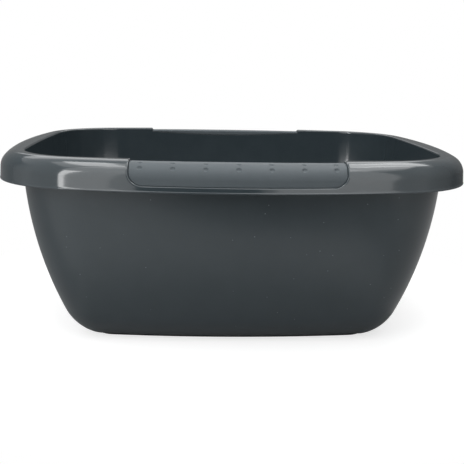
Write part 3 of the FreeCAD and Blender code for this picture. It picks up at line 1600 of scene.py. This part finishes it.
    def seat_levels(self, places: Sequence[Flat], hole: Sequence[Flat]) -> list[Level]:
        """Rings from the border of a seat's sheet over the seat's edge and down to its floor.

        Args:
            places: the border as places on the front sheet.
            hole: outline of the seat.

        Returns:
            The rings with the depths of their places below the rim's skin.
        """
        outline = self.outline
        edges = [self.section.edge_at(along, self.seat_edges) for _, along in hole]
        flush = [0.0] * len(hole)
        borders = [outline.moved_out(hole, [edge + more for edge in edges]) for more in self.seat_borders]
        levels: list[Level] = []
        for share in self.seat_spacing:
            pairs = zip(places, borders[0])
            levels.append(([(lerp(a[0], b[0], share), lerp(a[1], b[1], share)) for a, b in pairs], flush))
        levels += [(border, flush) for border in borders]
        levels += outline.rounded(hole, edges, 1.0, self.seat_edge_steps)
        levels += [(list(hole), [edge + drop for edge in edges]) for drop in self.seat_drops]
        return levels

    def cut_window(
        self,
        draft: MeshDraft,
        border: Sequence[int],
        places: Sequence[Flat],
        side: Side,
    ) -> None:
        """Fills the gap left in the rim with a sheet that has a grip's seat sunk in it.

        Args:
            draft: the moulding so far.
            border: numbers of the points round the gap.
            places: the same points as places on the front sheet.
            side: long side that the seat is on.
        """
        turn = Matrix.Rotation(math.pi if side is Side.REAR else 0.0, 4, "Z")
        polish = Polish.RIM.value
        section = self.section
        sides = self.outline_sides()
        last = list(border)
        for ring, depths in self.seat_levels(places, self.outline.loop(sides)):
            spots = (section.sunk(place, depth, Layer.SKIN) for place, depth in zip(ring, depths))
            fresh = draft.add((turn @ spot for spot in spots), polish)
            draft.bridge(last, fresh)
            last = fresh
        inner = [place for row in self.outline.inside(sides)[1:-1] for place in row[1:-1]]
        numbers = draft.add((turn @ section.point(*place, Layer.SEAT) for place in inner), polish)
        draft.grid(patch_numbers(last, len(sides[0]) - 1, len(sides[1]) - 1, numbers))

    def build(self, material: bpy.types.Material) -> bpy.types.Object:
        """Puts the rings together and sinks the two seats.

        Args:
            material: finish of the moulding.

        Returns:
            The moulding as one closed piece.
        """
        draft = MeshDraft()
        before = self.base_rings() + self.wall_rings() + self.under_rim_rings() + self.bead_rings()
        sheet = self.sheet_rings()
        rings = before + sheet + self.inside_rings()
        numbers = [draft.add(ring.points, ring.polish) for ring in rings]
        first, last = len(before), len(before) + len(sheet) - 1
        windows = {side: self.stations.window_columns(side) for side in Side}
        gaps = [column for columns in windows.values() for column in columns[:-1]]
        for row in range(len(rings) - 1):
            draft.bridge(numbers[row], numbers[row + 1], gaps if first <= row < last else ())
        for side, columns in windows.items():
            border = [(first, column) for column in columns]
            border += [(row, columns[-1]) for row in range(first + 1, last + 1)]
            border += [(last, column) for column in columns[-2::-1]]
            border += [(row, columns[0]) for row in range(last - 1, first, -1)]
            facing = -1.0 if side is Side.REAR else 1.0
            places = [(rings[row].points[column].x * facing, rings[row].along) for row, column in border]
            self.cut_window(draft, [numbers[row][column] for row, column in border], places, side)
        low = draft.add([Vector((0.0, 0.0, rings[0].points[0].z))])[0]
        draft.fan(numbers[0][::-1], low)
        high = draft.add([Vector((0.0, 0.0, rings[-1].points[0].z))], Polish.INSIDE.value)[0]
        draft.fan(numbers[-1], high)
        return draft.piece("bowl_moulding", material)


@dataclass
class SoftGrip:
    """Soft inlay in the rim: face, top and a lip that hangs over the inner edge, with dimples."""

    section: RimSection
    outline: GripOutline
    gap: float = 0.08
    edges: EdgeRadii = EdgeRadii(sill=0.15, face=0.25, top=0.4, inside=0.15)
    face_borders: Flat = (0.5, 0.2)
    round_steps: int = 6
    side_depth: float = 0.9
    back_share: float = 0.96
    columns: int = 420
    turn_steps: int = 16
    shoulder_steps: int = 50
    flat_steps: int = 8
    edge_steps: int = 7
    lip_steps: int = 6
    dimple_count: int = 7
    dimple_pitch: float = 23.9
    dimple_width: float = 4.0
    dimple_depth: float = 0.9
    face_angle: float = 45.0
    top_angle: float = 75.0
    dimple_softness: float = 0.04

    def sides(self) -> list[list[Flat]]:
        """The outline, close enough together for the dimples."""
        steps = (self.shoulder_steps, self.flat_steps, self.edge_steps, self.lip_steps)
        return self.outline.sides(self.columns, steps, self.turn_steps)

    def sunk(self, place: Flat, depth: float) -> Vector:
        """Point at a depth below the inlay's face, no further than its back."""
        return self.section.sunk(place, depth, Layer.GRIP, self.back_share)

    def blank(self, name: str, material: bpy.types.Material) -> bpy.types.Object:
        """The inlay before its dimples are pressed.

        Args:
            name: name of the piece.
            material: its finish.

        Returns:
            The front grip as a closed piece.
        """
        draft = MeshDraft()
        sides = self.sides()
        across, up = len(sides[0]) - 1, len(sides[1]) - 1
        outer = self.outline.loop(sides)
        ring = self.outline.moved_out(outer, [-self.gap] * len(outer))
        edges = [self.section.edge_at(along, self.edges) for _, along in ring]
        levels: list[Level] = []
        for border in self.face_borders:
            face = self.outline.moved_out(ring, [-edge - border for edge in edges])
            levels.append((face, [0.0] * len(ring)))
        levels += self.outline.rounded(ring, edges, -1.0, self.round_steps)
        levels += [(ring, [depth] * len(ring)) for depth in (self.side_depth, FULL_DEPTH)]
        last: list[int] = []
        for places, depths in levels:
            fresh = draft.add(self.sunk(place, depth) for place, depth in zip(places, depths))
            if last:
                draft.bridge(fresh, last)
            else:
                self.fill(draft, fresh, places, across, up, 0.0)
            last = fresh
        self.fill(draft, last, ring, across, up, FULL_DEPTH)
        return draft.piece(name, material)

    def fill(
        self,
        draft: MeshDraft,
        ring: Sequence[int],
        places: Sequence[Flat],
        across: int,
        up: int,
        depth: float,
    ) -> None:
        """Fills a ring of the inlay with a grid.

        Args:
            draft: the inlay so far.
            ring: numbers of the ring's points.
            places: the same points as places on the sheet.
            across: steps along the ring's bottom.
            up: steps along its upright sides.
            depth: depth below the inlay's face; the back faces the other way.
        """
        rows = self.outline.inside(self.outline.split(places, across, up))[1:-1]
        numbers = draft.add(self.sunk(place, depth) for row in rows for place in row[1:-1])
        draft.grid(patch_numbers(ring, across, up, numbers), flip=depth > 0.0)

    def dimple_tree(self, material: bpy.types.Material) -> ShapeTree:
        """Geometry nodes that press two rows of dimples into a grip.

        Args:
            material: finish of the grip.

        Returns:
            The tree.
        """
        section = self.section
        ball = ((self.dimple_width / 2) ** 2 + self.dimple_depth ** 2) / (2 * self.dimple_depth)
        tree = ShapeTree("press_dimples", {
            "Count": self.dimple_count,
            "Pitch": self.dimple_pitch * MM,
            "Ball Radius": ball * MM,
            "Ball Reach": (section.shoulder - section.recess + ball - self.dimple_depth) * MM,
            "Plan Radius": (section.rim.long_radius - section.draft - section.shoulder) * MM,
            "Plan Axis": section.rim.front_axis * MM,
            "Shoulder Height": section.springing * MM,
            "Face Angle": math.radians(self.face_angle),
            "Top Angle": math.radians(self.top_angle),
            "Softness": self.dimple_softness * MM,
            "Material": material,
        })
        both = tree.node("GeometryNodeJoinGeometry")
        for angle in ("Face Angle", "Top Angle"):
            tree.tree.links.new(self.dimple_row(tree, tree.size(angle)), both.inputs[0])
        place = tree.node("GeometryNodeInputPosition").outputs[0]
        near = tree.node("GeometryNodeProximity", {"target_element": "POINTS"}, {0: both.outputs[0]})
        centre = near.outputs["Position"]
        unit = tree.vector("NORMALIZE", {0: tree.vector("SUBTRACT", {0: place, 1: centre})})
        away = Socket(tree, near.outputs["Distance"])
        reach = away.soft_most(tree.size("Ball Radius"), tree.size("Softness"))
        spot = tree.vector("ADD", {0: centre, 1: tree.vector("SCALE", {0: unit, "Scale": reach})})
        tree.end(tree.moved(tree.inputs["Geometry"], spot))
        return tree

    @staticmethod
    def dimple_row(tree: ShapeTree, angle: Socket) -> bpy.types.NodeSocket:
        """Points at the centres of the balls that press one row of dimples.

        Args:
            tree: the tree under construction.
            angle: angle of the row up the shoulder.

        Returns:
            Geometry output with the points.
        """
        count, reach = tree.size("Count"), tree.size("Ball Reach")
        line = tree.node("GeometryNodeMeshLine", {"mode": "OFFSET"}, {"Count": count})
        index = tree.value("GeometryNodeInputIndex")
        x = (index - (count - 1.0) * 0.5) * tree.size("Pitch")
        outward = tree.size("Plan Radius") + reach * angle.cos()
        y = tree.size("Plan Axis") - (outward * outward - x * x).sqrt()
        z = tree.size("Shoulder Height") + reach * angle.sin()
        spot = tree.node("ShaderNodeCombineXYZ", None, {0: x, 1: y, 2: z})
        return tree.moved(line.outputs[0], spot.outputs[0])

    def build(self, material: bpy.types.Material) -> dict[Side, bpy.types.Object]:
        """The front grip and the same one turned round for the rear.

        Args:
            material: finish of the grips.

        Returns:
            Both pieces by their side.
        """
        front = self.blank("front_soft_grip", material)
        front.data = self.dimple_tree(material).shape(front)
        front.data.name = "front_soft_grip"
        turned = front.data.copy()
        turned.name = "rear_soft_grip"
        turned.transform(Matrix.Rotation(math.pi, 4, "Z"))
        return {Side.FRONT: front, Side.REAR: new_object("rear_soft_grip", turned)}


@dataclass
class FootRing:
    """Soft ring in the groove under the base, swept along its own plan outline."""

    plan: PlanOutline
    width: float = 6.0
    height: float = 3.02
    edge: float = 0.6
    corner_steps: int = 18
    side_steps: int = 24
    edge_steps: int = 4

    def path(self) -> bpy.types.Object:
        """Middle line of the ring as a closed loop of edges.

        Returns:
            The loop as an object.
        """
        points: list[Vector] = []
        for index, arc in enumerate(self.plan.arcs()):
            steps = self.corner_steps if index % 2 else self.side_steps
            for share in spread(0.0, 1.0, steps)[:-1]:
                points.append(Vector((*arc.point(share, self.width / 2), self.height / 2)) * MM)
        count = len(points)
        mesh = bpy.data.meshes.new("foot_soft_ring")
        mesh.from_pydata(points, [(index, (index + 1) % count) for index in range(count)], [])
        return new_object("foot_soft_ring", mesh)

    def sweep_tree(self, material: bpy.types.Material) -> ShapeTree:
        """Geometry nodes that sweep a rounded bar along a loop of edges.

        Args:
            material: finish of the ring.

        Returns:
            The tree.
        """
        tree = ShapeTree("sweep_foot_ring", {
            "Width": self.width * MM,
            "Height": self.height * MM,
            "Edge": self.edge * MM,
            "Edge Steps": self.edge_steps,
            "Material": material,
        })
        given = tree.inputs
        line = tree.node("GeometryNodeMeshToCurve", None, {"Mesh": given["Geometry"]})
        upright = tree.node("GeometryNodeSetCurveNormal", {"mode": "Z_UP"}, {"Curve": line.outputs[0]})
        size = {"Width": given["Width"], "Height": given["Height"]}
        bar = tree.node("GeometryNodeCurvePrimitiveQuadrilateral", {"mode": "RECTANGLE"}, size)
        corner = {"Curve": bar.outputs[0], "Radius": given["Edge"], "Count": given["Edge Steps"]}
        rounded = tree.node("GeometryNodeFilletCurve", {"mode": "POLY"}, corner)
        sweep = {"Curve": upright.outputs[0], "Profile Curve": rounded.outputs[0]}
        tree.end(tree.node("GeometryNodeCurveToMesh", None, sweep).outputs[0])
        return tree

    def build(self, material: bpy.types.Material) -> bpy.types.Object:
        """The ring as a plain mesh.

        Args:
            material: finish of the ring.

        Returns:
            The finished piece.
        """
        made = self.path()
        made.data = self.sweep_tree(material).shape(made)
        made.data.name = "foot_soft_ring"
        made.data.shade_smooth()
        return made


# Studio


def toward(azimuth: float, elevation: float) -> Vector:
    """Unit vector from the bowl, with the azimuth in degrees from the front to the right."""
    swing, rise = math.radians(azimuth), math.radians(elevation)
    return Vector((math.sin(swing) * math.cos(rise), -math.cos(swing) * math.cos(rise), math.sin(rise)))


class Adds(Enum):
    """What a lamp adds: light on the skin, its own image in the gloss, or both."""

    BOTH = (True, True)
    LIGHT = (True, False)
    GLOSS = (False, True)


@dataclass(frozen=True)
class SoftBox:
    """Rectangular lamp that faces the bowl, as wide and high as it looks from there in degrees."""

    name: str
    azimuth: float
    elevation: float
    across: float
    up: float
    glow: float
    adds: Adds = Adds.BOTH
    distance: float = 1.5

    def hang(self, target: Vector) -> None:
        """Puts the lamp up.

        Args:
            target: point that it faces, in metres.
        """
        lamp = bpy.data.lights.new(self.name, "AREA")
        lamp.shape = "RECTANGLE"
        lamp.size, lamp.size_y = (
            2 * self.distance * math.tan(math.radians(angle / 2)) for angle in (self.across, self.up)
        )
        # A flat lamp glows as strongly as its watts over four times its area
        lamp.energy = 4 * self.glow * lamp.size * lamp.size_y
        made = new_object(self.name, lamp)
        back = toward(self.azimuth, self.elevation)
        made.location = target + back * self.distance
        made.rotation_euler = (-back).to_track_quat("-Z", "Y").to_euler()
        made.visible_camera = False
        made.visible_diffuse, made.visible_glossy = self.adds.value


# Height of a card that lies on the floor, in metres
FLOOR_CARD_LEVEL = 0.001


@dataclass(frozen=True)
class Card:
    """Grey card that the bowl mirrors in place of the white surroundings, with a shade at each corner."""

    name: str
    corners: tuple[tuple[float, float, float], ...]
    shades: tuple[float, ...]

    def stand(self) -> None:
        """Puts the card up where the camera does not see it and it throws no light or shadow."""
        mesh = bpy.data.meshes.new(self.name)
        mesh.from_pydata(self.corners, [], [tuple(range(len(self.corners)))])
        layer = mesh.attributes.new("shade", "FLOAT", "POINT")
        layer.data.foreach_set("value", self.shades)
        material, graph = new_material(self.name)
        shade = graph.node("ShaderNodeAttribute", {"attribute_name": "shade"})
        tone = graph.node("ShaderNodeEmission", None, {"Color": shade.outputs["Color"], "Strength": 1.0})
        graph.node("ShaderNodeOutputMaterial", None, {"Surface": tone.outputs[0]})
        mesh.materials.append(material)
        made = new_object(self.name, mesh)
        made.visible_camera = False
        made.visible_shadow = False
        made.visible_diffuse = False


def side_card(
    name: str,
    start: float,
    end: float,
    high: float,
    first: float,
    last: float,
    lift: float = 0.0,
) -> Card:
    """Upright card from one azimuth to another, up to a height in metres, that turns between two shades.

    Args:
        name: name of the card.
        start: azimuth of its first end.
        end: azimuth of its last end.
        high: height of its top edge.
        first: shade at the foot of its first end.
        last: shade at the foot of its last end.
        lift: how much lighter its top edge is.

    Returns:
        The card.
    """
    low, distance = -0.15, 1.3
    a, b = (toward(azimuth, 0.0) * distance for azimuth in (start, end))
    corners = ((a.x, a.y, low), (b.x, b.y, low), (b.x, b.y, high), (a.x, a.y, high))
    return Card(name, corners, (first, last, last + lift, first + lift))


def floor_card(name: str, left: float, right: float, near: float, first: float, last: float) -> Card:
    """Card that lies on the floor beside the bowl and turns between two shades towards the rear.

    Args:
        name: name of the card.
        left: x of its left edge, in metres.
        right: x of its right edge.
        near: y of its front edge.
        first: shade at its front edge.
        last: shade at its rear edge.

    Returns:
        The card.
    """
    far, level = 0.7, FLOOR_CARD_LEVEL
    corners = ((left, near, level), (right, near, level), (right, far, level), (left, far, level))
    return Card(name, corners, (first, first, last, last))


def round_card(name: str, x: float, y: float, radius: float, shade: float) -> Card:
    """Round card that lies on the floor in front of the bowl."""
    corners = disc(x, y, radius, FLOOR_CARD_LEVEL, sides=48)
    return Card(name, tuple(corners), (shade,) * len(corners))


@dataclass(frozen=True)
class Studio:
    """Pale floor, white surroundings, soft boxes, grey cards and the camera."""

    lamps: tuple[SoftBox, ...] = (
        SoftBox("left_edge_box", -42.8, 14.0, 5.6, 38.0, 8.0),
        SoftBox("left_box", -34.0, 14.0, 12.0, 38.0, 1.5),
        SoftBox("left_inner_box", -25.0, 14.0, 6.0, 38.0, 0.7),
        SoftBox("left_high_box", -37.0, 53.0, 20.0, 40.0, 1.7),
        SoftBox("right_box", 26.0, 35.0, 35.0, 76.0, 1.25),
        SoftBox("left_fill_box", -68.0, 26.0, 44.0, 50.0, 1.15, Adds.LIGHT),
        SoftBox("top_left_box", -93.0, 67.5, 28.0, 9.0, 4.0, Adds.GLOSS),
        SoftBox("top_right_box", 132.0, 59.0, 27.0, 30.0, 3.4, Adds.GLOSS),
        SoftBox("right_high_box", 72.0, 63.0, 40.0, 14.0, 1.6, Adds.GLOSS),
        SoftBox("top_box", 0.0, 84.0, 70.0, 40.0, 1.2),
        SoftBox("top_fill_box", 180.0, 75.0, 60.0, 40.0, 2.2, Adds.LIGHT),
        SoftBox("rear_box", 180.0, 38.0, 70.0, 26.0, 0.8),
    )
    cards: tuple[Card, ...] = (
        side_card("right_near_card", 62.0, 104.0, 1.2, 0.75, 0.08, 0.5),
        side_card("right_card", 104.0, 152.0, 1.2, 0.08, 0.05, 0.5),
        side_card("left_near_card", -82.0, -106.0, 0.9, 1.0, 0.3),
        side_card("left_card", -106.0, -152.0, 0.9, 0.3, 0.25),
        side_card("rear_right_card", 152.0, 180.0, 0.5, 0.2, 0.25),
        side_card("rear_left_card", -152.0, -180.0, 0.5, 0.25, 0.15),
        side_card("camera_card", -21.0, 8.0, 0.7, 0.05, 0.05),
        floor_card("right_floor_card", 0.16, 0.7, -0.4, 0.4, 0.7),
        floor_card("left_floor_card", -0.7, -0.16, -0.15, 0.4, 0.36),
        round_card("front_card", 0.12, -0.58, 0.28, 0.03),
    )
    target: Vector = field(default_factory=lambda: Vector((0.0, -0.1, 0.14)))
    ambient: float = 0.16
    floor_radius: float = 0.7
    floor_sides: int = 96
    floor_tone: float = 0.48
    floor_lift: float = 0.7
    white_from: float = 0.17
    white_by: float = 0.33
    camera_place: tuple[float, float, float] = (-29.15, -722.63, 223.93)
    yaw: float = -2.549
    pitch: float = -11.886
    roll: float = -1.036
    focal_pixels: float = 784.77
    frame_pixels: float = 464.0
    sensor: float = 36.0

    @staticmethod
    def seen(graph: Graph) -> Socket:
        """1 for rays that show the surroundings: from the camera, mirrored or let through.

        Args:
            graph: nodes of the world or of a material.

        Returns:
            1 for those rays, 0 for others.
        """
        path = graph.node("ShaderNodeLightPath")
        camera, mirror, through = (
            Socket(graph, path.outputs[name])
            for name in ("Is Camera Ray", "Is Glossy Ray", "Is Transmission Ray")
        )
        return camera.most(mirror).most(through)

    def paint_world(self) -> None:
        """White surroundings that light the bowl only gently."""
        world = bpy.data.worlds.new("studio_world")
        world.use_nodes = True
        graph = Graph(world.node_tree)
        dim = (self.ambient, self.ambient, self.ambient, 1.0)
        tone = mix_colours(graph, self.seen(graph), dim, (1.0, 1.0, 1.0, 1.0))
        sky = graph.node("ShaderNodeBackground", None, {"Color": tone, "Strength": 1.0})
        graph.node("ShaderNodeOutputWorld", None, {"Surface": sky.outputs[0]})
        bpy.context.scene.world = world

    def lay_floor(self) -> None:
        """Round pale floor that keeps the bowl's shadow and turns white towards its edge."""
        mesh = bpy.data.meshes.new("studio_floor")
        rim = disc(0.0, 0.0, self.floor_radius, 0.0, self.floor_sides)
        mesh.from_pydata(rim, [], [tuple(range(len(rim)))])
        material, graph = new_material("pale_floor")
        tone = (self.floor_tone, self.floor_tone, self.floor_tone, 1.0)
        matte = graph.node("ShaderNodeBsdfDiffuse", None, {"Color": tone})
        glow = graph.node("ShaderNodeEmission", None, {"Strength": self.floor_lift})
        white = graph.node("ShaderNodeEmission", None, {"Strength": 1.0})
        lifted = graph.node("ShaderNodeAddShader", None, {0: matte.outputs[0], 1: glow.outputs[0]})
        place = graph.value("ShaderNodeTexCoord", output="Object")
        away = graph.value("ShaderNodeVectorMath", {"operation": "LENGTH"}, {0: place}, "Value")
        camera = graph.value("ShaderNodeLightPath", output="Is Camera Ray")
        lifting = {0: camera, 1: matte.outputs[0], 2: lifted.outputs[0]}
        near = graph.node("ShaderNodeMixShader", None, lifting)
        fade = self.seen(graph) * away.step(self.white_from, self.white_by)
        fading = {0: fade, 1: near.outputs[0], 2: white.outputs[0]}
        shown = graph.node("ShaderNodeMixShader", None, fading)
        graph.node("ShaderNodeOutputMaterial", None, {"Surface": shown.outputs[0]})
        mesh.materials.append(material)
        new_object("studio_floor", mesh)

    def place_camera(self) -> None:
        """Camera at the photograph's place, with its field of view."""
        lens = bpy.data.cameras.new("studio_camera")
        lens.sensor_width = self.sensor
        lens.lens = self.focal_pixels / self.frame_pixels * self.sensor
        camera = new_object("studio_camera", lens)
        yaw, pitch, roll = (math.radians(angle) for angle in (self.yaw, self.pitch, self.roll))
        turn = (
            Matrix.Rotation(yaw, 3, "Z")
            @ Matrix.Rotation(pitch, 3, "X")
            @ Matrix.Rotation(roll, 3, "Y")
            @ Matrix.Rotation(math.pi / 2, 3, "X")
        )
        camera.rotation_euler = turn.to_euler()
        camera.location = Vector(self.camera_place) * MM
        bpy.context.scene.camera = camera

    def build(self) -> None:
        """Sets the studio up."""
        bpy.context.scene.view_settings.view_transform = "Standard"
        self.paint_world()
        self.lay_floor()
        for lamp in self.lamps:
            lamp.hang(self.target)
        for card in self.cards:
            card.stand()
        self.place_camera()


# Assembly


def settle(piece: bpy.types.Object, node: str) -> None:
    """Puts a finished piece in the place of a solid of the part.

    Args:
        piece: the finished piece.
        node: the solid that it stands for.
    """
    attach(piece, BODY)
    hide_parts(node)
    LOG.info("%s stands for %s: %d faces", piece.name, node, len(piece.data.polygons))


def main() -> None:
    """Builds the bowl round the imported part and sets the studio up."""
    logging.basicConfig(level=logging.INFO, format="%(name)s: %(message)s")
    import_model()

    plans = Plans(WallSection())
    section = RimSection(plans.rim, plans.tub, plans.wall)
    outline = GripOutline(section)

    settle(Moulding(section, outline, plans.foot).build(MouldedPlastic().make()), "bowl_shell")
    grips = SoftGrip(section, outline).build(GRIP_RUBBER.make())
    settle(grips[Side.FRONT], "front_grip")
    settle(grips[Side.REAR], "rear_grip")
    settle(FootRing(plans.foot).build(FOOT_RUBBER_PAINTED_SHADOW.make()), "foot_ring")

    Studio().build()


if __name__ == "__main__":
    main()
